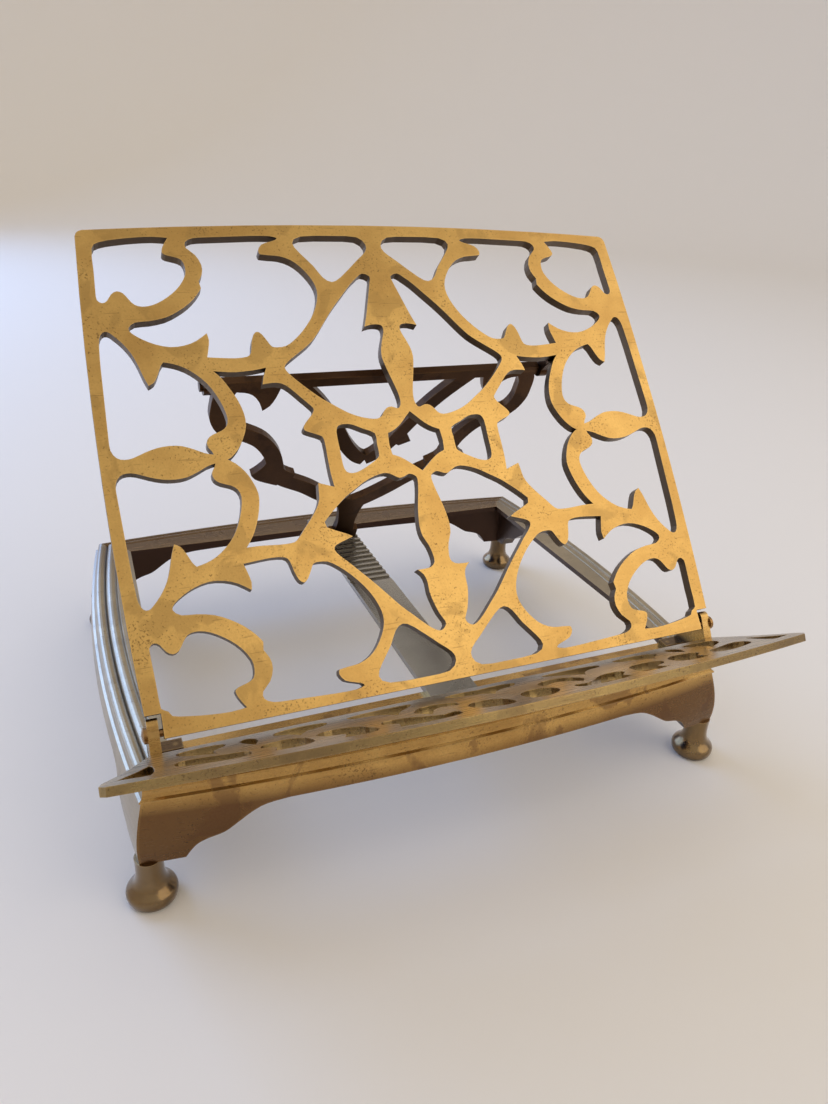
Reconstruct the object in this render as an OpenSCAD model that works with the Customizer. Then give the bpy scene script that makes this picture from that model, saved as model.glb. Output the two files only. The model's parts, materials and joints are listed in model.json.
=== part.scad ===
// Folding tabletop book stand in cast brass: pierced backrest, ledge, ratchet base and prop.
// Millimetres. X to the right, Y to the back, Z up, Z = 0 under the feet.

/* [Base] */
// width of the base over its moulding line at the corners
base_w = 284; // [240:1:340]
// depth of the base over its moulding line at the corners
base_d = 229; // [200:1:280]
// height of the flat top of the rails
rail_z = 59.4; // [54:0.2:70]
// width of the front and rear rails at their ends
long_rail_w = 22; // [20:0.5:26]
// width of a side rail at its front end
side_rail_w = 14; // [14:0.5:20]
// how much wider a side rail is at its rear end
side_rail_more = 4; // [0:0.5:8]
// outward bow of each rail at its middle
rail_bow = 8; // [2:0.5:14]
// wall thickness of the rails
rail_t = 5; // [3:0.5:6]
// thickness of the rails' flat top at its inner edge
lip_t = 3; // [2:0.5:4]
// width of the reeded moulding along a rail
mould_w = 13.5; // [10:0.5:14]
// height of that moulding
mould_h = 8.1; // [6.5:0.1:10]
// height of the apron's lower edge at the middle of a rail
apron_mid_z = 43.2; // [38:0.2:48]
// swell of the apron's face
apron_swell = 4.2; // [2:0.2:5]

/* [Feet] */
// height of a foot under the apron
foot_h = 22.5; // [18:0.5:28]
// diameter of the foot's rim
foot_d = 21.3; // [18:0.1:26]
// diameter of the foot's neck
foot_neck_d = 11.6; // [9:0.1:13]
// distance of a foot's axis from the moulding line
foot_in = 0.5; // [0:0.1:2]
// diameter of the stud that holds a foot
foot_stud_d = 5; // [4:0.5:6]
// length of that stud
foot_stud_l = 11; // [8:1:14]

/* [Hinge] */
// distance of the hinge axis behind the front moulding line
hinge_in = 6; // [5:0.5:10]
// height of the hinge axis over the rails
hinge_up = 19.3; // [17:0.1:26]
// diameter of a hinge pin
pin_d = 3.2; // [2.4:0.1:3.6]
// radial clearance of the pins in the turning parts
pin_clear = 0.05; // [0.02:0.01:0.1]
// length of a hinge pin inside the backrest
pin_in = 10; // [6:0.5:16]
// diameter of the pin's rounded head
pin_head_d = 6.5; // [5:0.5:8]
// thickness of a hinge post
post_t = 4.4; // [3.5:0.1:6]
// gap between a post and the backrest
post_gap = 1.6; // [0.5:0.1:3]
// height of the ear over the hinge axis
ear_h = 6; // [4.5:0.1:6.5]

/* [Ledge] */
// upward slope of the ledge towards its front
ledge_tilt = 30; // [24:0.5:36]
// depth of the ledge at its middle
ledge_d = 61; // [54:0.5:70]
// how much shallower the ledge is at its pointed ends
ledge_taper = 18; // [12:0.5:24]
// thickness of the ledge
ledge_t = 3.5; // [3:0.1:6]
// how far the ledge's tips stand out past the moulding line
ledge_over = 13.5; // [10:0.5:20]
// drop of the ledge's top under the hinge axis
ledge_drop = 7.4; // [6.8:0.1:9]

/* [Backrest] */
// lean of the backrest from upright in the resting pose
lean = 40; // [36:0.5:44]
// how far the corners of the backrest stay inside the moulding line
plate_in = 6; // [5:0.5:10]
// height of the backrest at its corners
plate_h = 220; // [200:0.5:240]
// thickness of the backrest
plate_t = 5; // [4.4:0.1:6]
// bow of the top edge
top_bow = 4.6; // [1:0.2:8]
// bow of the side edges
side_bow = 3.5; // [1:0.25:6]
// radius of the top corners
plate_r = 3; // [1:0.5:6]
// height of the hinge axis over the lower edge
pin_v = 2.6; // [2.4:0.1:3.2]
// width of the notch for an ear
notch_w = 5.6; // [5:0.2:8]
// height of that notch
notch_v = 9.8; // [9.4:0.2:11]

/* [Prop] */
// distance of the prop's axis behind the front of the backrest
prop_w = 18; // [14:0.5:22]
// length of the prop from its axis to its foot
prop_len = 137; // [128:0.5:146]
// thickness of the prop
prop_t = 4.4; // [3.5:0.1:5.5]
// height of the prop's top bar
prop_bar_h = 5.4; // [5:0.2:7]
// width of the prop's foot
prop_foot_w = 18; // [14:1:36]
// diameter of a prop pin
prop_pin_d = 3; // [2.4:0.1:3.4]
// thickness of a prop lug
lug_t = 4.4; // [3.5:0.1:5]
// sideways gap between a lug and the prop
lug_gap = 0.6; // [0.3:0.1:1]

/* [Ratchet bar] */
// width of the ratchet bar
bar_w = 24; // [18:0.5:30]
// thickness of the ratchet bar
bar_t = 3; // [2.5:0.1:4]
// number of notches
notch_n = 13; // [8:1:14]
// spacing of the notches
notch_pitch = 5.6; // [4.5:0.1:6]
// depth of a notch
notch_deep = 1; // [0.6:0.1:2]
// gap between the prop's foot and the bar
foot_clear = 0.4; // [0.3:0.05:1]

/* [Screws] */
// diameter of the ratchet bar's screws
screw_d = 3; // [2.5:0.1:3.5]
// diameter of their heads
screw_head_d = 7; // [5.5:0.5:8]
// height of their heads
screw_head_h = 1.6; // [1.2:0.1:2.2]
// width of the slot in a head
slot_w = 1; // [0.6:0.1:1.4]
// diameter of the screws of the posts and the ledge
small_screw_d = 2.4; // [2:0.1:2.8]
// diameter of their heads
small_head_d = 4.2; // [3.4:0.1:4.4]
// height of their heads
small_head_h = 1.5; // [1:0.1:2]

/* [Hidden] */
$fn = 64;
half_w = base_w / 2;
half_d = base_d / 2;
bead_z = rail_z - mould_h;
bar_top = rail_z + bar_t;
hinge_z = rail_z + hinge_up;
open_d = base_d - 2 * long_rail_w;
open_front_w = base_w - 2 * side_rail_w;
open_rear_w = open_front_w - 2 * side_rail_more;
arm_t = ledge_t * 0.8;
arm_l = ledge_d / 4;
ear_front = plate_t * 0.4;
ear_back = plate_t * 0.7;
post_foot_d = long_rail_w - mould_w - 2;

// outward swell of the apron's face at a height
function swell_at(z) = apron_swell * sin(65 + 115 * (z - foot_h) / (bead_z - foot_h));
ledge_reach = (ear_front + ledge_d) * cos(ledge_tilt) + (ledge_drop + ledge_t) * sin(ledge_tilt);
ledge_front = half_d - hinge_in + ledge_reach;
rear_reach = half_d + rail_bow + swell_at(apron_mid_z);
base_y = (ledge_front - rear_reach) / 2;
hinge_y = base_y - half_d + hinge_in;
ledge_l = base_w + 2 * ledge_over;
ledge_end_d = ledge_d - ledge_taper;

// the scroll patterns are drawn for these sizes and stretched to the real ones
drawn_plate = [272, 220];
drawn_ledge = [311, 61];
drawn_prop = [272, 137];
plate_w = base_w - 2 * plate_in;
plate_k = [plate_w / drawn_plate[0], plate_h / drawn_plate[1]];
ledge_k = [ledge_l / drawn_ledge[0], ledge_d / drawn_ledge[1]];
prop_k = [plate_w / drawn_prop[0], prop_len / drawn_prop[1]];
notch_u = plate_w / 2 - notch_w;
post_u = notch_u + post_gap;
lug_u = 86 * plate_k[0];
prop_v = 153 * plate_k[1];
rivet_u = 90 * plate_k[0];
rivet_v = 154.5 * plate_k[1];
prop_bar_l = 2 * (lug_u - lug_gap);
prop_a = prop_v - pin_v;
prop_b = prop_w - plate_t / 2;
prop_y = hinge_y + prop_a * sin(lean) + prop_b * cos(lean);
prop_z = hinge_z + prop_a * cos(lean) - prop_b * sin(lean);
prop_back = acos((prop_z - bar_top - foot_clear - prop_t / 2) / prop_len);
plate_mid = 111.2;

// a smooth closed outline through points; a third value of 1 marks a sharp corner
function pick(p, i) = p[(i + len(p)) % len(p)];
function xy(p) = [p[0], p[1]];
function sharp(p) = len(p) > 2;
function blend(a, b, c, d, t) =
  0.5 * (2 * b + (c - a) * t + (2 * a - 5 * b + 4 * c - d) * t * t + (3 * b - a - 3 * c + d) * t * t * t);
function smooth(p, n = 2) = [for (i = [0:len(p) - 1]) for (k = [0:n - 1])
  blend(xy(sharp(p[i]) ? p[i] : pick(p, i - 1)), xy(p[i]), xy(pick(p, i + 1)),
    xy(sharp(pick(p, i + 1)) ? pick(p, i + 1) : pick(p, i + 2)), k / n)];

// a smooth open line through points, and a band of even width along it
function line(p, n = 4) = concat([for (i = [0:len(p) - 2]) for (k = [0:n - 1])
  blend(p[max(i - 1, 0)], p[i], p[i + 1], p[min(i + 2, len(p) - 1)], k / n)], [p[len(p) - 1]]);
function unit(v) = v / norm(v);
function side(p, i) = let (d = unit(p[min(i + 1, len(p) - 1)] - p[max(i - 1, 0)])) [-d[1], d[0]];
function band_pts(p, w) = let (q = line(p), e = len(q) - 1)
  concat([for (i = [0:e]) q[i] + side(q, i) * w / 2], [for (i = [e:-1:0]) q[i] - side(q, i) * w / 2]);

module both_sides() {
  children();
  mirror([1, 0, 0]) children();
}

module in_base() {
  translate([0, base_y, 0]) children();
}

module in_plate() {
  translate([0, hinge_y, hinge_z]) rotate([90 - lean, 0, 0]) translate([0, -pin_v, plate_t / 2]) children();
}

module in_ledge() {
  translate([0, hinge_y, hinge_z]) rotate([-ledge_tilt, 0, 0]) children();
}

module in_prop() {
  translate([0, prop_y, prop_z]) rotate([90 + prop_back, 0, 0]) children();
}

module along_x(x0, x1, d) {
  translate([x0, 0, 0]) rotate([0, 90, 0]) cylinder(d = d, h = x1 - x0);
}

// section of a rail: distance outward from the moulding line, height over the flat top
function reed(c, d, r, h, a0, a1, n = 7) = [for (k = [0:n]) let (a = a0 + (a1 - a0) * k / n)
  [-mould_w * (c - r * cos(a)), -mould_h * (d - h * sin(a))]];
bead = [[-0.06, 0.99], [-0.06, 0.9], [0.03, 0.83], [0.07, 0.66]];
rail_section = concat(
  [for (k = [0:7]) let (z = foot_h + (bead_z - foot_h) * k / 7) [swell_at(z), z - rail_z]],
  [for (p = bead) [-mould_w * p[0], -mould_h * p[1]]],
  reed(0.29, 0.5, 0.21, 0.3, 10, 160),
  reed(0.74, 0.33, 0.22, 0.28, 15, 150),
  [[-mould_w * 0.97, -mould_h * 0.07], [-mould_w, 0], [-2 * long_rail_w, 0],
    [-2 * long_rail_w, -lip_t], [-mould_w * 0.9, -lip_t], [-mould_w * 0.6, -rail_t], [-rail_t, -rail_t],
    [-rail_t, foot_h - rail_z]]);

// a rail along an arc of half-length h, bowed by rail_bow, its moulding line at distance d in front
module rail_sweep(h, d) {
  r = (h * h + rail_bow * rail_bow) / (2 * rail_bow);
  a = asin((h + mould_w) / r);
  translate([0, r - d - rail_bow, rail_z]) rotate([0, 0, 270 - a])
    rotate_extrude(angle = 2 * a, $fn = 200) translate([r, 0]) polygon(rail_section);
}

// lower edge of the apron: share of the half-length in from the corner, share of the rise
apron_edge = [[0.128, -0.06], [0.15, 0.18], [0.17, 0.32], [0.2, 0.41], [0.245, 0.49], [0.285, 0.66],
  [0.325, 0.83], [0.37, 0.95], [0.44, 1]];
module apron_cut(h, d) {
  rise = apron_mid_z - foot_h;
  pts = [for (p = line(apron_edge, 3)) [h * (1 - p[0]) + apron_swell, foot_h + rise * p[1]]];
  low = [pts[0][0], 0];
  mirrored = [for (k = [len(pts) - 1:-1:0]) [-pts[k][0], pts[k][1]]];
  translate([0, -d + 2 * long_rail_w, 0]) rotate([90, 0, 0]) linear_extrude(4 * long_rail_w)
    polygon(concat([low], pts, mirrored, [[-low[0], 0]]));
}

// plan of a rail between its mitres; the inner corners lie at x0 and x1, at distance d0 and d1
module mitre_plan(h, d, x0, d0, x1, d1) {
  m = mould_w;
  linear_extrude(rail_z + mould_h) polygon([[-x0, -d0], [-h + m, -d + m], [-h - m, -d - m],
    [h + m, -d - m], [h - m, -d + m], [x1, -d1]]);
}

module at_foot(h, d) {
  for (s = [-1, 1]) translate([s * (h - foot_in), -d + foot_in, foot_h]) children();
}

// a rail cut along the mitres, with half the hole for a foot's stud at each end
module rail(h, d, x0, d0, x1, d1) {
  difference() {
    intersection() {
      rail_sweep(h, d);
      mitre_plan(h, d, x0, d0, x1, d1);
    }
    apron_cut(h, d);
    at_foot(h, d) translate([0, 0, -1]) cylinder(d = foot_stud_d, h = foot_stud_l + 1.5);
  }
}

module front_rail() {
  x = open_front_w / 2;
  color("#8a6a33") in_base() difference() {
    rail(half_w, half_d, x, open_d / 2, x, open_d / 2);
    bar_holes();
    post_holes();
  }
}

module rear_rail() {
  x = open_rear_w / 2;
  color("#8a6a33") in_base() difference() {
    rotate([0, 0, 180]) rail(half_w, half_d, x, open_d / 2, x, open_d / 2);
    bar_holes();
  }
}

module side_rail() {
  rotate([0, 0, -90]) rail(half_d, half_w, open_d / 2, open_rear_w / 2, open_d / 2, open_front_w / 2);
}

module left_rail() {
  color("#8f7340") in_base() side_rail();
}

module right_rail() {
  color("#8f7340") in_base() mirror([1, 0, 0]) side_rail();
}

// a turned foot: share of the rim's flare over the neck, share of the height
foot_curve = [[0.62, 0], [0.86, 0.04], [0.98, 0.115], [1, 0.2], [0.88, 0.265], [0.61, 0.33], [0.33, 0.4],
  [0.14, 0.49], [0.03, 0.62], [0, 0.78], [0, 1]];
module foot() {
  n = foot_neck_d / 2;
  flare = foot_d / 2 - n;
  top = foot_h + foot_stud_l;
  turned = [for (p = line(foot_curve, 3)) [n + flare * p[0], foot_h * p[1]]];
  stud = [[foot_stud_d / 2, foot_h], [foot_stud_d / 2, top], [0, top]];
  rotate_extrude() polygon(concat([[0, 0]], turned, stud));
}

module foot_at(sx, sy) {
  color("#9a7a3e") in_base() translate([sx * (half_w - foot_in), sy * (half_d - foot_in), 0]) foot();
}

module foot_front_left() {
  foot_at(-1, -1);
}

module foot_front_right() {
  foot_at(1, -1);
}

module foot_rear_left() {
  foot_at(-1, 1);
}

module foot_rear_right() {
  foot_at(1, 1);
}

// flat bar with saw-shaped notches on its rear half
bar_on_rail = long_rail_w * 0.4;
bar_end = open_d / 2 + bar_on_rail;
bar_screw_y = open_d / 2 + bar_on_rail / 2;
bar_screw_l = lip_t + bar_t * 0.7;
module bar_holes() {
  for (s = [-1, 1]) translate([0, s * bar_screw_y, rail_z - lip_t - 1])
    cylinder(d = screw_d, h = bar_screw_l + 1);
}

module ratchet_bar() {
  last = open_d / 2 - 2 * notch_pitch;
  ramp = notch_pitch * 0.8;
  color("#8c8272") in_base() difference() {
    translate([-bar_w / 2, -bar_end, rail_z]) cube([bar_w, 2 * bar_end, bar_t]);
    for (k = [0:notch_n - 1]) translate([-bar_w, last - k * notch_pitch, bar_top]) rotate([90, 0, 90])
      linear_extrude(2 * bar_w) polygon([[0, 0.5], [0, -notch_deep], [-ramp, 0], [-ramp, 0.5]]);
    bar_holes();
  }
}

module bar_screws() {
  color("#7d6a45") in_base() for (s = [-1, 1]) translate([0, s * bar_screw_y, rail_z - lip_t]) {
    cylinder(d = screw_d, h = bar_screw_l);
    difference() {
      translate([0, 0, -screw_head_h]) cylinder(d1 = screw_head_d * 0.8, d2 = screw_head_d, h = screw_head_h);
      translate([-screw_head_d, -slot_w / 2, -1.5 * screw_head_h])
        cube([2 * screw_head_d, slot_w, screw_head_h]);
    }
  }
}

// side view of a hinge post: ear and arm in the ledge's slope, stem down to the rail
ear_low = -ledge_drop - ledge_t - arm_t;
module post_ear() {
  r = (ear_front + ear_back) / 2;
  translate([(ear_back - ear_front) / 2, ear_h - r]) circle(r = r);
  translate([-ear_front, ear_low]) square([ear_front + ear_back, ear_h - r - ear_low]);
  translate([-ear_front - arm_l, ear_low]) square([arm_l + ear_front, arm_t]);
}

post_foot_y = -open_d / 2 - 0.5;
module post_stem() {
  y0 = post_foot_y - post_foot_d;
  y1 = post_foot_y;
  h0 = -half_d + hinge_in;
  polygon([[y0, rail_z], [y1, rail_z], [y1, rail_z + arm_t], [y0, rail_z + hinge_up * 0.55],
    [h0 + ear_back, hinge_z], [h0, hinge_z], [h0 - ear_back, hinge_z - hinge_up * 0.6],
    [y0, rail_z + arm_t]]);
}

// the post's foot runs inwards along the front rail and takes a screw from below
post_foot_l = 2.2 * post_t;
post_foot_t = 0.6 * post_t;
post_screw_u = post_u - post_foot_l * 0.7;
post_screw_y = post_foot_y - post_foot_d / 2;
module post_holes() {
  both_sides() translate([post_screw_u, post_screw_y, rail_z - lip_t - 1])
    cylinder(d = small_screw_d, h = lip_t + 1 + post_foot_t * 0.7);
}

module hinge_post() {
  difference() {
    union() {
      translate([post_u, 0, 0]) rotate([90, 0, 90]) linear_extrude(post_t) union() {
        translate([hinge_y, hinge_z]) rotate(-ledge_tilt) post_ear();
        translate([base_y, 0]) post_stem();
      }
      translate([post_u - post_foot_l, base_y + post_foot_y - post_foot_d, rail_z])
        cube([post_foot_l + post_t, post_foot_d, post_foot_t]);
    }
    translate([0, hinge_y, hinge_z]) along_x(post_u - 1, post_u + post_t + 1, pin_d);
    in_base() post_holes();
    in_ledge() ledge_holes();
  }
}

module hinge_post_left() {
  color("#b08d45") mirror([1, 0, 0]) hinge_post();
}

module hinge_post_right() {
  color("#b08d45") hinge_post();
}

module post_screws() {
  color("#7d6a45") in_base() both_sides() translate([post_screw_u, post_screw_y, rail_z - lip_t]) {
    translate([0, 0, -small_head_h]) cylinder(d = small_head_d, h = small_head_h);
    cylinder(d = small_screw_d, h = lip_t + post_foot_t * 0.7);
  }
}

ledge_screw_y = -ear_front - arm_l * 0.6;
ledge_screw_l = arm_t + ledge_t * 0.7;
module ledge_holes() {
  both_sides() translate([post_u + post_t / 2, ledge_screw_y, ear_low - 1])
    cylinder(d = small_screw_d, h = ledge_screw_l + 1);
}

module ledge_screws() {
  color("#7d6a45") in_ledge() both_sides() translate([post_u + post_t / 2, ledge_screw_y, ear_low]) {
    translate([0, 0, -small_head_h]) cylinder(d = small_head_d, h = small_head_h);
    cylinder(d = small_screw_d, h = ledge_screw_l);
  }
}

// windows of the ledge, right half: distance from the middle, distance from the back edge
ledge_mid_win = [[0, 9, 1], [6, 7.5], [13, 8], [17, 11], [14, 16], [8, 18], [3, 21], [0, 26, 1],
  [-3, 21], [-8, 18], [-14, 16], [-17, 11], [-13, 8], [-6, 7.5]];
ledge_wins = [
  [[33, 8], [42, 7], [52, 7.5], [60, 10], [59, 15], [52, 17], [47, 21], [44, 27, 1], [40, 20], [35, 15],
    [32, 11]],
  [[70, 9], [76, 7], [84, 7], [90, 10], [91, 15], [86, 19], [83, 25, 1], [79, 19], [72, 16], [69, 12]],
  [[98, 12], [101, 8.5], [104, 12], [103, 18], [100, 24, 1], [98, 18]],
  [[110, 9], [116, 7], [124, 7.5], [128, 11], [126, 17], [121, 21], [114, 26, 1], [115, 19], [110, 14]],
  [[4, 40], [8, 36], [14, 35], [19, 39], [19, 46], [15, 51], [9, 54], [4, 52], [3, 46]],
  [[19, 27], [25, 22], [32, 22], [37, 27], [38, 34], [34, 40, 1], [31, 33], [26, 30], [20, 33, 1]],
  [[27, 44], [32, 46], [38, 42], [45, 36], [53, 35], [55, 40], [50, 45], [52, 51, 1], [42, 53], [32, 53],
    [26, 50]],
  [[62, 33], [68, 29], [75, 29], [79, 33], [76, 39], [70, 42], [72, 48, 1], [63, 50], [58, 46], [60, 39]],
  [[85, 30], [91, 27], [98, 29], [100, 34], [95, 38], [97, 44, 1], [88, 46], [82, 43], [82, 36]],
  [[106, 33], [112, 31], [119, 28], [126, 26], [130, 29], [129, 35], [122, 39], [113, 42], [106, 42],
    [104, 38]],
  [[138, 22], [141.5, 27], [145.5, 32], [149.5, 36.5, 1], [144, 38], [138.5, 39], [137, 30]]];

module ledge_outline() {
  e = ledge_l / 2;
  n = 40;
  tip = ledge_over * 0.16;
  x1 = e - tip;
  x0 = half_w - ledge_over * 0.4;
  front = [for (k = [0:n]) let (x = x1 - 2 * x1 * k / n) [x, -ledge_d + ledge_taper * pow(x / x1, 2)]];
  hollow = [[0, 0], [0.17, 0.19], [0.4, 0.43], [0.68, 0.66], [0.95, 0.84], [1, 0.94]];
  end = [for (p = hollow) [x0 + (e - x0) * p[0], -ledge_end_d * p[1]]];
  other = [for (k = [len(end) - 1:-1:0]) [-end[k][0], end[k][1]]];
  polygon(concat(end, front, other));
}

module book_ledge() {
  color("#9c7c40") in_ledge() difference() {
    translate([0, -ear_front, -ledge_drop - ledge_t]) linear_extrude(ledge_t) difference() {
      ledge_outline();
      scale([ledge_k[0], -ledge_k[1]]) {
        polygon(smooth(ledge_mid_win));
        both_sides() for (w = ledge_wins) polygon(smooth(w));
      }
    }
    ledge_holes();
  }
}

module hinge_pin() {
  x1 = post_u + post_t;
  translate([0, hinge_y, hinge_z]) {
    along_x(notch_u - pin_in, x1, pin_d);
    translate([x1, 0, 0]) rotate([0, 90, 0]) rotate_extrude() intersection() {
      translate([0, -pin_head_d * 0.65]) circle(r = pin_head_d);
      square([pin_head_d / 2, pin_head_d]);
    }
  }
}

module hinge_pin_left() {
  color("#8a6d3a") mirror([1, 0, 0]) hinge_pin();
}

module hinge_pin_right() {
  color("#8a6d3a") hinge_pin();
}

// windows of the backrest, right half; these four serve above and below the middle
corner_win = [[97.5, 105.5, 1], [104, 106], [112, 105.5], [120, 104.5], [127, 103], [130, 100],
  [130.5, 90], [131, 80], [131, 75.5], [129, 74], [127, 75], [125, 78], [122.5, 79.5], [120, 78.5],
  [118, 75.5], [116, 73], [113, 72], [109, 72.5], [104.5, 74.5], [99.5, 78], [95.5, 82], [92.5, 87],
  [92, 91], [93, 94.5], [96, 96], [99.5, 97], [101, 98.5], [100, 101.5], [98.5, 104]];
great_win = [[47.5, 106, 1], [51, 107], [60, 107], [70, 106.5], [80, 106], [86.5, 105.5], [90, 103.5],
  [90, 100.5], [86.5, 97], [84.5, 92], [85, 87.5], [87, 84, 1], [86.5, 80.5, 1], [89, 77], [93, 73],
  [98, 69.5], [104, 66.5], [111, 65], [117, 64.5], [120, 62], [119, 59.5], [115, 56.5], [110, 54],
  [104, 52.5], [98, 53], [92.5, 55], [87.5, 58.5, 1], [87, 55], [88, 50.5], [89, 47, 1], [84, 46.5],
  [77, 46], [71.5, 46.5], [69.5, 48.5], [68.5, 53], [67, 57], [65, 58.5], [63, 57], [61, 53.5],
  [59.5, 51], [57, 50.5], [53, 51], [49, 53.5], [44, 58], [39, 64], [35.5, 70], [33.5, 76], [33.5, 81],
  [35.5, 86], [39, 91], [43, 94.5], [48, 96.5], [53, 97], [57, 97.5, 1], [57.5, 99.5], [55.5, 102.5],
  [51.5, 104], [48.5, 105]];
arch_win = [[4, 103], [8, 107], [20, 107.5], [36, 107], [40.5, 103.5], [38, 98.5], [32.5, 91.5],
  [29, 85.5], [25, 83], [20, 85.5], [10, 94.5], [5, 99]];
leaf_win = [[93.5, 2, 1], [97, 3], [101, 5], [106, 7], [111, 7.5], [116, 7], [121, 5.5], [126, 3.5],
  [129.5, 3], [132.5, 4], [134.5, 7.5], [134.5, 14], [134, 30], [133.5, 44], [133, 52], [132.5, 57],
  [131, 60], [129, 60.5], [127, 59], [123.5, 55], [120.5, 50], [118.5, 44.5], [117, 39], [115.5, 35, 1],
  [113, 36.5], [111, 40], [109.5, 43.5], [108, 45.5, 1], [104, 44.5], [99.5, 42.5], [95, 39], [91, 34.5],
  [88, 29], [86, 23.5], [85, 18], [86, 14.5], [88.5, 12.5], [92.5, 11], [95, 9], [95.5, 6], [94, 3.5]];

// windows drawn once, heights over the lower edge: beside both spearheads, ring side, ring eye
spear_up_win = [[9, 198.5], [12, 196.5], [16, 193], [21, 187.5], [26, 182], [30.5, 176.5], [35, 170.5],
  [40, 164.5], [45, 160.5], [50, 157], [54, 154], [55.5, 151.5], [54, 148.5], [50, 144], [46, 140],
  [41, 135.5], [36, 132], [31, 128.5], [26, 126], [21, 124.5], [17, 124], [14.5, 125], [13, 127],
  [11, 129], [8.5, 129.5], [6, 128.5], [4.5, 129], [3.5, 132], [4, 137], [5.5, 143], [7, 149],
  [8, 154.5], [7.5, 159], [6, 163.5], [4.5, 167.5], [4.5, 170.5], [6.5, 171.5], [10, 171.5],
  [13.5, 170.5, 1], [12, 174.5], [10.5, 179], [9, 184], [7.5, 189], [6, 194], [5.5, 197]];
spear_low_win = [[3.5, 93], [4.5, 95], [7, 96], [9.5, 95], [12, 94.5], [14, 95.5], [16.5, 97],
  [19.5, 97.5], [24, 96.5], [29, 94.5], [34, 91.5], [39, 88.5], [44, 84.5], [48, 81], [51, 78, 1],
  [50.5, 75.5, 1], [46.5, 73.5], [42, 71.5], [39.5, 70, 1], [44, 68.5], [48, 67], [49, 65], [47, 62],
  [43.5, 58.5], [39, 53.5], [34, 48], [29, 42], [24, 36], [19, 31], [14, 26], [10, 23], [7.5, 22.5],
  [5.5, 24], [5, 26], [7, 30], [8.5, 35], [9.5, 40], [9.5, 45], [10.5, 48.5], [13, 51, 1], [9, 51],
  [6, 51.5], [4, 53.5], [4, 57], [5, 61.5], [7, 66], [7.5, 70.5], [7, 75.5], [6, 81], [4.5, 87]];
ring_side_win = [[64, 152, 1], [70, 151], [78, 150.5], [84, 151], [87.5, 151.5, 1], [84.5, 148],
  [81.5, 142.5], [79, 137], [77.5, 131], [77.5, 125.5], [79.5, 120], [82.5, 115], [86, 111.5],
  [88, 110.5, 1], [85, 108.5], [81.5, 104.5], [79, 99.5], [77.5, 94], [78, 89], [79.5, 83.5], [82, 77.5],
  [84.5, 73.5], [86.5, 71, 1], [80, 71], [73, 70.5], [67.5, 70.5], [64.5, 71.5], [61, 75.5], [57, 80],
  [53.5, 84.5], [51.5, 88.5], [51, 92.5], [50.5, 96, 1], [47.5, 95], [43.5, 93.5, 1], [44, 100],
  [44, 108], [44, 116], [45.5, 118], [49, 119.5], [52, 121], [52, 123], [50, 125.5], [47.5, 128],
  [46, 130.5], [47, 132.5], [51, 137], [55, 141.5], [58.5, 144], [62.5, 144.5], [67, 144, 1],
  [66, 147.5]];
ring_eye_win = [[19.5, 117], [24.5, 119.5], [29.5, 122], [33, 122.5], [36, 122], [37.5, 119],
  [37.5, 111], [37.5, 103.5], [36.5, 100], [33.5, 99], [29.5, 100], [24.5, 102.5], [20.5, 105],
  [19.5, 107], [19.5, 112]];
centre_win = [[0, 126.5, 1], [3, 123.5], [6, 120.5], [9.5, 118], [13, 116.5, 1], [13.5, 111],
  [13, 106, 1], [9.5, 104.5], [6, 102], [3, 99.5], [0, 97, 1], [-3, 99.5], [-6, 102], [-9.5, 104.5],
  [-13, 106, 1], [-13.5, 111], [-13, 116.5, 1], [-9.5, 118], [-6, 120.5], [-3, 123.5]];

module corner_pad() {
  polygon(smooth([[141, 0, 1], [141, 18, 1], [131.5, 18, 1], [130.5, 12], [127.5, 10], [126, 7.5],
    [123.5, 5.5], [118, 4, 1], [118, 0, 1]]));
}

module plate_windows() {
  polygon(smooth(centre_win));
  both_sides() {
    for (w = [spear_up_win, spear_low_win, ring_side_win, ring_eye_win]) polygon(smooth(w));
    translate([0, plate_mid]) {
      polygon(smooth(corner_win));
      for (w = [great_win, arch_win, leaf_win]) for (m = [0, 1]) mirror([0, m]) polygon(smooth(w));
    }
    difference() {
      translate([0, plate_mid]) mirror([0, 1]) polygon(smooth(corner_win));
      corner_pad();
    }
  }
}

function side_u(v) = plate_w / 2 + side_bow * (1 - pow((v - plate_h / 2) / (plate_h / 2), 2));
function top_v(u) = plate_h + top_bow * (1 - pow(u / (plate_w / 2), 2));
module plate_outline() {
  n = 24;
  v1 = plate_h - plate_r;
  u1 = plate_w / 2 - plate_r;
  right = [for (k = [0:n]) let (v = notch_v + (v1 - notch_v) * k / n) [side_u(v), v]];
  round = [for (a = [15:15:75]) [u1 + plate_r * cos(a), v1 + plate_r * sin(a)]];
  top = [for (k = [0:n]) let (u = u1 * (1 - k / n)) [u, top_v(u)]];
  half = concat([[0, 0], [notch_u, 0], [notch_u, notch_v]], right, round, top);
  left = [for (k = [len(half) - 2:-1:1]) [-half[k][0], half[k][1]]];
  polygon(concat(half, left));
}

module rivet_spots() {
  both_sides() translate([rivet_u, rivet_v, 0]) children();
}

module backrest_plate() {
  color("#c29a4b") in_plate() difference() {
    translate([0, 0, -plate_t]) linear_extrude(plate_t) difference() {
      plate_outline();
      scale(plate_k) plate_windows();
    }
    both_sides() translate([0, pin_v, -plate_t / 2])
      along_x(notch_u - pin_in - 0.5, notch_u + 1, pin_d + 2 * pin_clear);
    rivet_spots() translate([0, 0, -plate_t - 1]) cylinder(d = rivet_d, h = 1 + rivet_in);
  }
}

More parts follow.
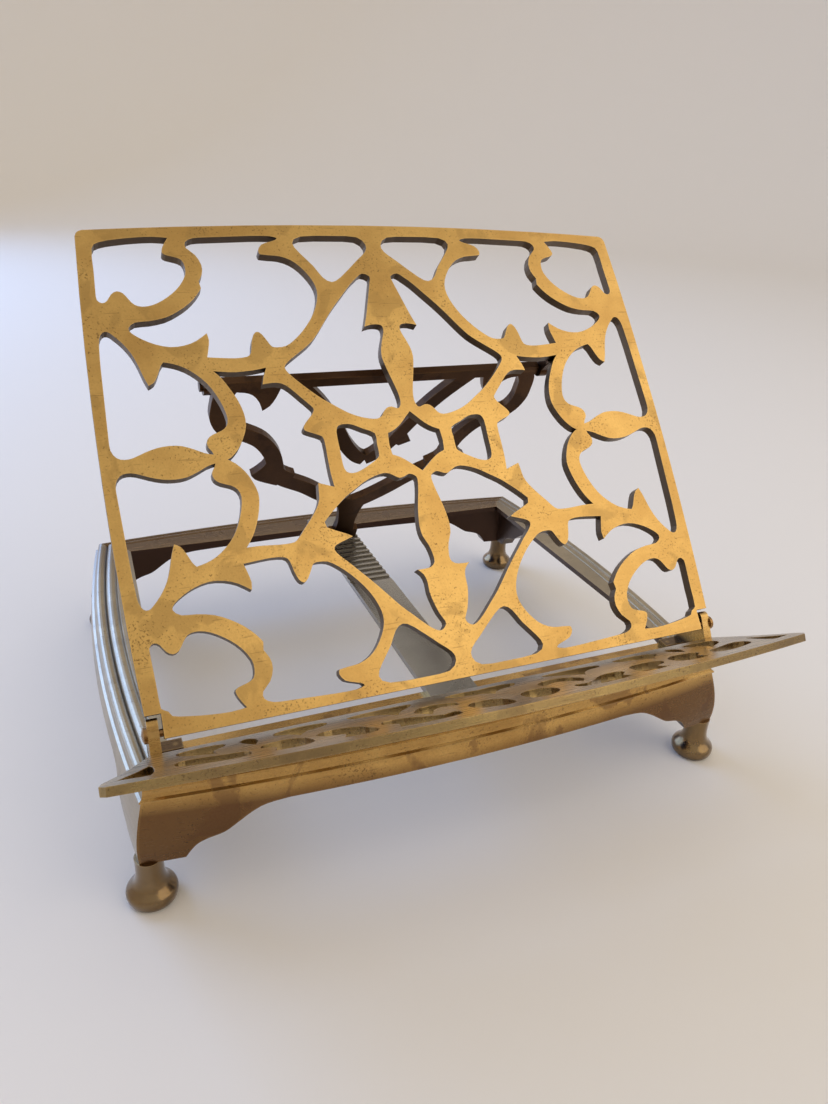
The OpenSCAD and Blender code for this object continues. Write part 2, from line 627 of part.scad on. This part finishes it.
// lug: a foot flat against the back of the plate and an eye around the prop's axis
rivet_d = prop_pin_d;
rivet_in = plate_t * 0.7;
lug_foot_t = lug_t / 2;
lug_w = lug_t * 1.4;
module prop_lug() {
  in_plate() difference() {
    union() {
      translate([lug_u - lug_t * 0.3, rivet_v - lug_w * 0.7, -plate_t - lug_foot_t])
        cube([2 * lug_t, lug_w * 1.3, lug_foot_t]);
      translate([lug_u, prop_v, -prop_w]) along_x(0, lug_t, 2 * lug_t);
      translate([lug_u, prop_v - lug_w / 2, -prop_w]) cube([lug_t, lug_w, prop_w - plate_t]);
    }
    translate([0, prop_v, -prop_w]) along_x(lug_u - 1, lug_u + lug_t + 1, prop_pin_d);
    rivet_spots() translate([0, 0, -plate_t - lug_foot_t - rivet_d])
      cylinder(d = rivet_d, h = lug_foot_t + rivet_d + 1);
  }
}

module prop_lug_left() {
  color("#8d6f39") mirror([1, 0, 0]) prop_lug();
}

module prop_lug_right() {
  color("#8d6f39") prop_lug();
}

module lug_rivets() {
  color("#8d6f39") in_plate() rivet_spots() translate([0, 0, -plate_t - lug_foot_t])
    cylinder(d = rivet_d, h = lug_foot_t + rivet_in);
}

prop_pin_in = 2.7 * prop_pin_d;
module prop_pin() {
  in_prop() {
    along_x(prop_bar_l / 2 - prop_pin_in, lug_u + lug_t, prop_pin_d);
    along_x(lug_u + lug_t, lug_u + lug_t + prop_pin_d / 2, prop_pin_d * 1.8);
  }
}

module prop_pin_left() {
  color("#7d6a45") mirror([1, 0, 0]) prop_pin();
}

module prop_pin_right() {
  color("#7d6a45") prop_pin();
}

// bands of the prop, right half: distance from the middle, height over the axis
prop_scroll = [[78, 0], [81, -6], [82, -13], [82, -21], [78, -29], [69, -33.5], [60, -40], [53.5, -50],
  [50.5, -60], [49, -68], [43.5, -74], [31, -82], [20, -91], [9, -98.5], [0, -103]];
prop_vee = [[46, 0], [33, -15], [22.5, -31], [14, -47], [6, -58], [0, -62]];
prop_thorns = [
  [[77, 1, 1], [76, -3], [71, -4], [67, -6], [63.5, -11], [61.5, -17, 1], [58, -14], [55.5, -8.5], [54, -3],
    [53, 1, 1]],
  [[54, -54, 1], [57, -60], [61, -64.5], [63, -66, 1], [60.5, -70], [55, -73.5], [48, -77, 1], [44, -70, 1]],
  [[47, -60, 1], [44, -65], [38.5, -68.5, 1], [39.5, -72], [39, -76, 1], [46, -76, 1]],
  [[21, -43, 1], [24.5, -49, 1], [18, -52, 1], [12, -48, 1]]];
prop_leg = [[-12, -96], [0, -100], [12, -96], [8, -104], [6, -114], [5.5, -122], [6.5, -130, 1],
  [-6.5, -130, 1], [-5.5, -122], [-6, -114], [-8, -104]];

module prop_shape() {
  foot_top = prop_len * 0.06;
  translate([-prop_bar_l / 2, -prop_bar_h / 2]) square([prop_bar_l, prop_bar_h]);
  scale(prop_k) {
    both_sides() {
      polygon(band_pts(prop_scroll, 9));
      polygon(band_pts(prop_vee, 8));
      for (t = prop_thorns) polygon(smooth(t));
    }
    polygon(smooth(prop_leg));
  }
  translate([-prop_foot_w / 2, -prop_len]) square([prop_foot_w, foot_top]);
}

module prop_strut() {
  color("#6e5a34") in_prop() difference() {
    union() {
      translate([0, 0, -prop_t / 2]) linear_extrude(prop_t) prop_shape();
      translate([0, -prop_len, 0]) along_x(-prop_foot_w / 2, prop_foot_w / 2, prop_t);
    }
    both_sides() along_x(prop_bar_l / 2 - prop_pin_in - 0.5, prop_bar_l / 2 + 1, prop_pin_d + 2 * pin_clear);
  }
}

front_rail();
rear_rail();
left_rail();
right_rail();
foot_front_left();
foot_front_right();
foot_rear_left();
foot_rear_right();
ratchet_bar();
bar_screws();
hinge_post_left();
hinge_post_right();
post_screws();
book_ledge();
ledge_screws();
hinge_pin_left();
hinge_pin_right();
backrest_plate();
prop_lug_left();
prop_lug_right();
lug_rivets();
prop_pin_left();
prop_pin_right();
prop_strut();
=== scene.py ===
import json
import math

import bmesh
import bpy
from mathutils import Matrix, Vector

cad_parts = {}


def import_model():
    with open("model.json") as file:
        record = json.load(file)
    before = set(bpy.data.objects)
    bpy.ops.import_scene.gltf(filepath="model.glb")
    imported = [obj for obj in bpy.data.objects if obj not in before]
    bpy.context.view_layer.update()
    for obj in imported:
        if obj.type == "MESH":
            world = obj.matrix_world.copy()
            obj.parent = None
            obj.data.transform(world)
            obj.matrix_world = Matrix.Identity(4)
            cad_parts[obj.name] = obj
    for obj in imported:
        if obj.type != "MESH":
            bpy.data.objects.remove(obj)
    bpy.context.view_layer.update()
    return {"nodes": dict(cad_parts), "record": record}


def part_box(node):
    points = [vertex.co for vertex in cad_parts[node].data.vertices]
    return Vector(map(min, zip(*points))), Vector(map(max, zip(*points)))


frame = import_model()

MM = 0.001


# colour and node helpers

def linear(hex_code):
    """An sRGB hex colour as linear red, green, blue and alpha."""
    parts = [int(hex_code[i:i + 2], 16) / 255 for i in (1, 3, 5)]
    return [c / 12.92 if c <= 0.04045 else ((c + 0.055) / 1.055) ** 2.4 for c in parts] + [1.0]


def put(tree, kind, inputs=None, **settings):
    """Adds a node, sets its settings, and fills or links its inputs."""
    made = tree.nodes.new(kind)
    for key, value in settings.items():
        setattr(made, key, value)
    for key, value in (inputs or {}).items():
        if isinstance(value, bpy.types.NodeSocket):
            tree.links.new(value, made.inputs[key])
        else:
            made.inputs[key].default_value = value
    return made


def per_metre(size_mm):
    """Texture scale whose features are about size_mm wide."""
    return 1 / (size_mm * MM)


# materials

# sockets of a Mix node that mixes colours
SHARE, FIRST, SECOND, MIXED = 0, 6, 7, 2

# marks on the metal: their real size, and the levels of the noise between which they come in
CLOUD_MM = 40
CLOUD_LEVELS = (0.33, 0.68)
STAIN_MM = 24
STAIN_LEVELS = (0.565, 0.61)
# the casting's grain is finer than this, and is drawn so coarse to show at all
GRIT_MM = 0.9
GRAIN_LEVELS = (0.4, 0.7)
GRAIN_SHARE = 0.25
SPECK_CROWD_MM = 18
CROWDING = 0.4
SPECK_LEVELS = (0.85, 0.92)
SPECK_TONE = "#5C401C"
# scratches run mostly one way, turned about each axis by these angles, and are thin beside their length
SCRATCH_MM = 14
SCRATCH_TURN = (0.4, 0.6, 0.5)
SCRATCH_THIN = (1.0, 16.0, 16.0)
SCRATCH_LEVELS = (0.69, 0.75)
SCRATCH_SHARE = 0.5
SCRATCH_TONE = "#5A4120"

# edges that hands rubbed bright, and hollows drawn in a darker tone: how far off a wall counts
EDGE_MM = 1.0
EDGE_GRIT = 0.3
EDGE_LEVELS = (0.98, 0.7)
HOLLOW_MM = 6
HOLLOW_LEVELS = (0.65, 0.15)
HOLLOW_TONE = "#2E1C0C"
NEAR_SAMPLES = 6

# how much duller the stains, scratches and unpolished walls are
STAIN_DULL = 0.1
SCRATCH_DULL = 0.08
RAW_DULL = 0.15

# depth of the relief, and of specks and scratches in it
RELIEF = 0.2
RELIEF_MM = 0.25
SPECK_DEEP = -1.0
SCRATCH_DEEP = -0.8

# old lacquer
LACQUER_ROUGH = 0.3
LACQUER_IOR = 1.6

# where the painted shade on the base and the posts comes in, in height and towards the rear, and how
# far it goes
bar_low, bar_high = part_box("ratchet_bar")
BASE_MIDDLE = [(low + high) / 2 for low, high in zip(bar_low, bar_high)]
REAR_SHADE_FROM = BASE_MIDDLE[1] + 40 * MM
REAR_SHADE_TO = BASE_MIDDLE[1] + 100 * MM
BEAD_FOOT = bar_low[2] - 12 * MM
APRON_DARK = BEAD_FOOT - 7 * MM
APRON_RISE = 0.035
EAR_FOOT = bar_high[2] + 4 * MM
PAD_TOP = bar_high[2] + 1.5 * MM
SHADE_SHARE = 0.9

# which faces count as the back of the plate, as its windows' walls and as the inside of the base
PLATE_LEAN = math.radians(40)
PLATE_FACE = (0, -math.cos(PLATE_LEAN), math.sin(PLATE_LEAN))
BACK_LEVELS = (-0.3, -0.6)
WALL_LEVELS = (0.55, 0.25)
INSIDE_LEVELS = (-0.05, -0.45)


# Cast brass, filed flat and hand polished long ago, under the last of its lacquer: a satin warm metal
# with broad browner clouds, water stains with clear borders, fine dark casting specks, short
# scratches, and a darker tone in the hollows.
# low is a painted shade: a darker tone that comes in downwards between two heights, which rise by a
# share of the distance from the middle. rear is a painted shade: the darker tone of the side away from
# the reader. raw is that of the casting where no polisher reached, darkened further as painted shade:
# in the windows of a plate that faces shown, whose back has the tone back, or without shown inside
# and under the base.
def cast_brass(name, gold, deep, stain, rubbed, rough, stained=0.5, specks=0.6, wear=0.3, hollow_dark=0.75,
               lacquer=0.4, low=None, rear=None, raw_and_shade=None, shown=None, back=None):
    mat = bpy.data.materials.new(name)
    mat.use_nodes = True
    tree = mat.node_tree
    tree.nodes.clear()
    coords = put(tree, "ShaderNodeTexCoord")
    place = coords.outputs["Object"]
    normal = coords.outputs["Normal"]
    place_xyz = put(tree, "ShaderNodeSeparateXYZ", {0: place})

    cloud = put(tree, "ShaderNodeTexNoise", {
        "Vector": place, "Scale": per_metre(CLOUD_MM), "Detail": 4.0, "Roughness": 0.6})
    cloudy = put(tree, "ShaderNodeMapRange", {
        "Value": cloud.outputs[0], "From Min": CLOUD_LEVELS[0], "From Max": CLOUD_LEVELS[1]},
        interpolation_type="SMOOTHSTEP")
    colour = put(tree, "ShaderNodeMix", {
        SHARE: cloudy.outputs[0], FIRST: linear(gold), SECOND: linear(deep)}, data_type="RGBA")
    border = put(tree, "ShaderNodeTexNoise", {
        "Vector": place, "Scale": per_metre(STAIN_MM), "Detail": 4.0, "Roughness": 0.55,
        "Distortion": 0.6})
    patch = put(tree, "ShaderNodeMapRange", {
        "Value": border.outputs[0], "From Min": STAIN_LEVELS[0], "From Max": STAIN_LEVELS[1],
        "To Max": stained})
    colour = put(tree, "ShaderNodeMix", {
        SHARE: patch.outputs[0], FIRST: colour.outputs[MIXED], SECOND: linear(stain)},
        data_type="RGBA")

    # painted shade: the side away from the reader is darker
    if rear:
        behind = put(tree, "ShaderNodeMapRange", {
            "Value": place_xyz.outputs[1], "From Min": REAR_SHADE_FROM, "From Max": REAR_SHADE_TO,
            "To Max": SHADE_SHARE})
        colour = put(tree, "ShaderNodeMix", {
            SHARE: behind.outputs[0], FIRST: colour.outputs[MIXED], SECOND: linear(rear)},
            data_type="RGBA")
    # painted shade: darker downwards between two heights
    if low:
        low_shade_tone, low_from, low_to, low_rise = low
        ends = put(tree, "ShaderNodeMath", {0: place_xyz.outputs[0]}, operation="ABSOLUTE")
        sunk = put(tree, "ShaderNodeMath", {
            0: ends.outputs[0], 1: -low_rise, 2: place_xyz.outputs[2]}, operation="MULTIPLY_ADD")
        shade_below = put(tree, "ShaderNodeMapRange", {
            "Value": sunk.outputs[0], "From Min": low_from, "From Max": low_to, "To Max": SHADE_SHARE})
        colour = put(tree, "ShaderNodeMix", {
            SHARE: shade_below.outputs[0], FIRST: colour.outputs[MIXED], SECOND: linear(low_shade_tone)},
            data_type="RGBA")

    crowd = put(tree, "ShaderNodeTexNoise", {
        "Vector": place, "Scale": per_metre(SPECK_CROWD_MM), "Detail": 2.0})
    grit = put(tree, "ShaderNodeTexNoise", {
        "Vector": place, "Scale": per_metre(GRIT_MM), "Detail": 2.0, "Roughness": 0.5})
    grain = put(tree, "ShaderNodeMapRange", {
        "Value": grit.outputs[0], "From Min": GRAIN_LEVELS[0], "From Max": GRAIN_LEVELS[1],
        "To Max": GRAIN_SHARE})
    colour = put(tree, "ShaderNodeMix", {
        SHARE: grain.outputs[0], FIRST: colour.outputs[MIXED], SECOND: linear(stain)},
        data_type="RGBA")
    gritty = put(tree, "ShaderNodeMath", {
        0: crowd.outputs[0], 1: CROWDING, 2: grit.outputs[0]}, operation="MULTIPLY_ADD")
    speck = put(tree, "ShaderNodeMapRange", {
        "Value": gritty.outputs[0], "From Min": SPECK_LEVELS[0], "From Max": SPECK_LEVELS[1],
        "To Max": specks})
    colour = put(tree, "ShaderNodeMix", {
        SHARE: speck.outputs[0], FIRST: colour.outputs[MIXED], SECOND: linear(SPECK_TONE)},
        data_type="RGBA")

    along = put(tree, "ShaderNodeMapping", {
        "Vector": place, "Rotation": SCRATCH_TURN, "Scale": SCRATCH_THIN})
    scratch = put(tree, "ShaderNodeTexNoise", {
        "Vector": along.outputs[0], "Scale": per_metre(SCRATCH_MM), "Detail": 1.0})
    scored = put(tree, "ShaderNodeMapRange", {
        "Value": scratch.outputs[0], "From Min": SCRATCH_LEVELS[0], "From Max": SCRATCH_LEVELS[1],
        "To Max": SCRATCH_SHARE * specks})
    colour = put(tree, "ShaderNodeMix", {
        SHARE: scored.outputs[0], FIRST: colour.outputs[MIXED], SECOND: linear(SCRATCH_TONE)},
        data_type="RGBA")

    depth = put(tree, "ShaderNodeAmbientOcclusion", {"Distance": EDGE_MM * MM},
                samples=NEAR_SAMPLES, only_local=True, inside=True)
    edge = put(tree, "ShaderNodeMath", {
        0: grit.outputs[0], 1: EDGE_GRIT, 2: depth.outputs["AO"]}, operation="MULTIPLY_ADD")
    worn = put(tree, "ShaderNodeMapRange", {
        "Value": edge.outputs[0], "From Min": EDGE_LEVELS[0], "From Max": EDGE_LEVELS[1],
        "To Max": wear})
    colour = put(tree, "ShaderNodeMix", {
        SHARE: worn.outputs[0], FIRST: colour.outputs[MIXED], SECOND: linear(rubbed)},
        data_type="RGBA")

    matt = put(tree, "ShaderNodeMath", {
        0: patch.outputs[0], 1: STAIN_DULL, 2: rough - SCRATCH_DULL / 2}, operation="MULTIPLY_ADD")
    sheen = put(tree, "ShaderNodeMath", {
        0: scratch.outputs[0], 1: SCRATCH_DULL, 2: matt.outputs[0]}, operation="MULTIPLY_ADD")
    # painted shade: walls and insides where no polisher reached take a darker tone
    if raw_and_shade:
        if shown:
            facing = put(tree, "ShaderNodeVectorMath", {0: normal, 1: shown}, operation="DOT_PRODUCT")
            turned = put(tree, "ShaderNodeMapRange", {
                "Value": facing.outputs["Value"], "From Min": BACK_LEVELS[0],
                "From Max": BACK_LEVELS[1]})
            colour = put(tree, "ShaderNodeMix", {
                SHARE: turned.outputs[0], FIRST: colour.outputs[MIXED], SECOND: linear(back)},
                data_type="RGBA")
            squarely = put(tree, "ShaderNodeMath", {0: facing.outputs["Value"]}, operation="ABSOLUTE")
            unpolished_and_shaded = put(tree, "ShaderNodeMapRange", {
                "Value": squarely.outputs[0], "From Min": WALL_LEVELS[0],
                "From Max": WALL_LEVELS[1]})
        else:
            outward = put(tree, "ShaderNodeVectorMath", {0: place, 1: BASE_MIDDLE},
                          operation="SUBTRACT")
            level = put(tree, "ShaderNodeVectorMath", {0: outward.outputs[0], 1: (1, 1, 0)},
                        operation="MULTIPLY")
            away = put(tree, "ShaderNodeVectorMath", {0: level.outputs[0]}, operation="NORMALIZE")
            outer = put(tree, "ShaderNodeVectorMath", {0: away.outputs[0], 1: normal},
                        operation="DOT_PRODUCT")
            normal_xyz = put(tree, "ShaderNodeSeparateXYZ", {0: normal})
            facing = put(tree, "ShaderNodeMath", {
                0: outer.outputs["Value"], 1: normal_xyz.outputs[2]}, operation="ADD")
            unpolished_and_shaded = put(tree, "ShaderNodeMapRange", {
                "Value": facing.outputs[0], "From Min": INSIDE_LEVELS[0],
                "From Max": INSIDE_LEVELS[1]})
        colour = put(tree, "ShaderNodeMix", {
            SHARE: unpolished_and_shaded.outputs[0], FIRST: colour.outputs[MIXED], SECOND: linear(raw_and_shade)},
            data_type="RGBA")
        sheen = put(tree, "ShaderNodeMath", {
            0: unpolished_and_shaded.outputs[0], 1: RAW_DULL, 2: sheen.outputs[0]}, operation="MULTIPLY_ADD")

    # a darker tone in the hollows
    open_to = put(tree, "ShaderNodeAmbientOcclusion", {"Distance": HOLLOW_MM * MM},
                  samples=NEAR_SAMPLES)
    hollow = put(tree, "ShaderNodeMapRange", {
        "Value": open_to.outputs["AO"], "From Min": HOLLOW_LEVELS[0], "From Max": HOLLOW_LEVELS[1],
        "To Max": hollow_dark})
    colour = put(tree, "ShaderNodeMix", {
        SHARE: hollow.outputs[0], FIRST: colour.outputs[MIXED], SECOND: linear(HOLLOW_TONE)},
        data_type="RGBA")

    pitted = put(tree, "ShaderNodeMath", {
        0: speck.outputs[0], 1: SPECK_DEEP, 2: grit.outputs[0]}, operation="MULTIPLY_ADD")
    relief = put(tree, "ShaderNodeMath", {
        0: scored.outputs[0], 1: SCRATCH_DEEP, 2: pitted.outputs[0]}, operation="MULTIPLY_ADD")
    bump = put(tree, "ShaderNodeBump", {
        "Strength": RELIEF, "Distance": RELIEF_MM * MM, "Height": relief.outputs[0]})
    shade = put(tree, "ShaderNodeBsdfPrincipled", {
        "Base Color": colour.outputs[MIXED], "Metallic": 1.0, "Roughness": sheen.outputs[0],
        "Normal": bump.outputs[0], "Coat Weight": lacquer, "Coat Roughness": LACQUER_ROUGH,
        "Coat IOR": LACQUER_IOR})
    put(tree, "ShaderNodeOutputMaterial", {"Surface": shade.outputs[0]})
    return mat


# the backrest: bright satin gold in front, duller behind, and in its windows the brown of a casting no
# polisher reached, darkened further as painted shade
plate_brass = cast_brass(
    "satin polished brass", gold="#D2A85E", deep="#BA904C", stain="#A58246", rubbed="#E2C07E",
    rough=0.3, lacquer=0.3, raw_and_shade="#5E4A32", shown=PLATE_FACE, back="#94713E")
# the ledge: darker and greener, from books and hands
ledge_brass = cast_brass(
    "handled cast brass", gold="#A68C54", deep="#8C7244", stain="#6C5632", rubbed="#CBA566",
    rough=0.28, stained=0.3, lacquer=0.6)
# the front and rear rails: brown gold mouldings over an apron painted darker towards its foot as shade,
# painted darker still at the rear as shade; where no polisher reached, inside and under, the casting is
# darkened further as painted shade
rail_brass = cast_brass(
    "browned cast brass with painted shade", gold="#CEA55E", deep="#B48B49", stain="#7C5830", rubbed="#D6B070",
    rough=0.26, stained=0.6, wear=0.1, hollow_dark=0.5,
    low=("#5A3816", BEAD_FOOT, APRON_DARK, APRON_RISE), rear="#4A321A", raw_and_shade="#3A200C")
# the side rails: pale and dull, under lacquer that takes the colour of the light; their pale silvery
# tone is partly a painted cool reflection, their rear is painted shade, and their inside, where no
# polisher reached, is darkened further as painted shade
side_brass = cast_brass(
    "pale brass with painted silvery sheen", gold="#AA9876", deep="#928264", stain="#7A684A", rubbed="#C4AE84",
    rough=0.4, stained=0.3, wear=0.1, hollow_dark=0.4, lacquer=1.0, rear="#6A5638", raw_and_shade="#42260F")
# the hinge posts: bright ears over stems painted dark as the shadow under the plate
ear_brass = cast_brass(
    "hinge brass", gold="#D2AA62", deep="#B48C4C", stain="#8A6636", rubbed="#E0BC7C",
    rough=0.28, stained=0.3, hollow_dark=0.4, low=("#3E2812", EAR_FOOT, PAD_TOP, 0))
# the feet: brass made browner as a painted dark reflection from below, with a soft shine and hardly a
# speck
foot_brass = cast_brass(
    "turned satin brass", gold="#886C3E", deep="#705630", stain="#563E1C", rubbed="#C8AA72",
    rough=0.15, stained=0.3, specks=0.2, lacquer=0.8)
# the ratchet bar: even and grey
bar_brass = cast_brass(
    "grey brass strip", gold="#A09C94", deep="#8E8980", stain="#847E74", rubbed="#B8B2A6",
    rough=0.24, stained=0.4, specks=0.15, lacquer=0.8)
# the prop and its lugs: never polished, and painted nearly black as shade
dark_brass = cast_brass(
    "dull cast brass with painted shade", gold="#54381F", deep="#422A17", stain="#321E10", rubbed="#7A5A36",
    rough=0.36, specks=0.3, lacquer=0.1)
# pins, screws and rivets: brown, with sharp small highlights
pin_brass = cast_brass(
    "turned brass pin", gold="#A07842", deep="#866032", stain="#62421F", rubbed="#C09A5E",
    rough=0.28, specks=0.3)

finish_of_slot = {
    "plate_brass": plate_brass,
    "base_brass": rail_brass,
    "bar_brass": bar_brass,
    "dark_brass": dark_brass,
    "pin_brass": pin_brass,
}
finish_of_node = {
    "book_ledge": ledge_brass,
    "left_rail": side_brass,
    "right_rail": side_brass,
    "hinge_post_left": ear_brass,
    "hinge_post_right": ear_brass,
}
for corner in ("front_left", "front_right", "rear_left", "rear_right"):
    finish_of_node["foot_" + corner] = foot_brass


# the solids keep their shape; the edges of the pierced plates and the posts are eased as a filed
# casting's are

EASE_MM = {
    "backrest_plate": 0.6,
    "book_ledge": 0.5,
    "prop_strut": 0.5,
    "hinge_post_left": 0.4,
    "hinge_post_right": 0.4,
}
JOIN_MM = 0.002
FLAT_ANGLE = math.radians(0.5)
EDGE_ANGLE = math.radians(40)
EASE_STEPS = 2


def dress(node_name, slot_name):
    piece = frame["nodes"][node_name]
    piece.data.materials.clear()
    piece.data.materials.append(finish_of_node.get(node_name, finish_of_slot[slot_name]))
    if node_name in EASE_MM:
        weld = piece.modifiers.new("join", "WELD")
        weld.merge_threshold = JOIN_MM * MM
        flat = piece.modifiers.new("flats", "DECIMATE")
        flat.decimate_type = "DISSOLVE"
        flat.angle_limit = FLAT_ANGLE
        ease = piece.modifiers.new("eased edges", "BEVEL")
        ease.width = EASE_MM[node_name] * MM
        ease.segments = EASE_STEPS
        ease.limit_method = "ANGLE"
        ease.angle_limit = EDGE_ANGLE
        normals = piece.modifiers.new("face normals", "WEIGHTED_NORMAL")
        normals.keep_sharp = True


for row in frame["record"]["subparts"]:
    dress(row["node"], row["material_slot"])


# floor, light and camera

PALE = "#EFE9E1"
BOARD_RADIUS = 2.4
BOARD_BEND = 0.8
WALL_TOP = 2.0
BEND_STEPS = 12
ROUND_STEPS = 96
SAME_PLACE = 0.0001
BOARD_ROUGH = 0.7


# A pale board that curves up into a round wall, so that no edge shows behind the stand from any side.
def floor():
    board = bmesh.new()
    profile = [(0, 0, 0), (BOARD_RADIUS, 0, 0)]
    for step in range(1, BEND_STEPS + 1):
        turn = math.radians(90 * step / BEND_STEPS)
        reach = BOARD_RADIUS + BOARD_BEND * math.sin(turn)
        profile.append((reach, 0, BOARD_BEND * (1 - math.cos(turn))))
    profile.append((BOARD_RADIUS + BOARD_BEND, 0, WALL_TOP))
    line = [board.verts.new(at) for at in profile]
    edges = [board.edges.new(pair) for pair in zip(line, line[1:])]
    bmesh.ops.spin(board, geom=line + edges, cent=(0, 0, 0), axis=(0, 0, 1), angle=2 * math.pi,
                   steps=ROUND_STEPS, use_merge=True)
    bmesh.ops.remove_doubles(board, verts=board.verts, dist=SAME_PLACE)
    for face in board.faces:
        face.smooth = True
    mesh = bpy.data.meshes.new("floor")
    board.to_mesh(mesh)
    board.free()
    piece = bpy.data.objects.new("floor", mesh)
    bpy.context.scene.collection.objects.link(piece)
    mat = bpy.data.materials.new("pale matt board")
    mat.use_nodes = True
    surface = mat.node_tree.nodes["Principled BSDF"]
    surface.inputs["Base Color"].default_value = linear(PALE)
    surface.inputs["Roughness"].default_value = BOARD_ROUGH
    mesh.materials.append(mat)


def world(strength):
    sky = bpy.data.worlds.new("studio")
    bpy.context.scene.world = sky
    sky.use_nodes = True
    sky.node_tree.nodes["Background"].inputs["Color"].default_value = linear(PALE)
    sky.node_tree.nodes["Background"].inputs["Strength"].default_value = strength


def soft_box(name, at, towards, size, watts, tint):
    lamp = bpy.data.lights.new(name, "AREA")
    lamp.size = size
    lamp.energy = watts
    lamp.color = linear(tint)[:3]
    piece = bpy.data.objects.new(name, lamp)
    aim = (Vector(towards) - Vector(at)).to_track_quat("-Z", "Y").to_matrix().to_4x4()
    piece.matrix_world = Matrix.Translation(at) @ aim
    piece.visible_camera = False
    bpy.context.scene.collection.objects.link(piece)


# The camera stands where the photograph's perspective puts it: to the left, in front and above.
FRAME_HEIGHT_PX = 1104
FOCAL_PX = 829
SENSOR_MM = 36
NEAREST = 0.01
CAMERA_FROM_HINGE = Vector((-149.8, -270.1, 212.2)) * MM
CAMERA_FORWARD = Vector((0.367, 0.816, -0.448))
CAMERA_RIGHT = Vector((0.921, -0.385, 0.054))


def camera():
    lens = bpy.data.cameras.new("camera")
    lens.sensor_fit = "VERTICAL"
    lens.sensor_height = SENSOR_MM
    lens.lens = FOCAL_PX / FRAME_HEIGHT_PX * SENSOR_MM
    lens.clip_start = NEAREST
    piece = bpy.data.objects.new("camera", lens)
    back = -CAMERA_FORWARD.normalized()
    right = (CAMERA_RIGHT - back * CAMERA_RIGHT.dot(back)).normalized()
    up = back.cross(right)
    turn = Matrix((right, up, back)).transposed().to_4x4()
    joints = frame["record"]["behaviour"]["joints"]
    hinge = next(row for row in joints if row["name"] == "backrest_tilt")
    piece.matrix_world = Matrix.Translation(Vector(hinge["pos_m"]) + CAMERA_FROM_HINGE) @ turn
    bpy.context.scene.collection.objects.link(piece)
    bpy.context.scene.camera = piece


floor()
world(strength=0.78)
soft_box("window", at=(-1.1, 1.5, 1.0), towards=(-0.1, 0, 0.08), size=1.4, watts=28, tint="#8CB9FF")
soft_box("room", at=(0.9, -0.9, 1.0), towards=(0, 0, 0.12), size=1.4, watts=6, tint="#FFF4DF")
camera()
bpy.context.scene.view_settings.view_transform = "Standard"
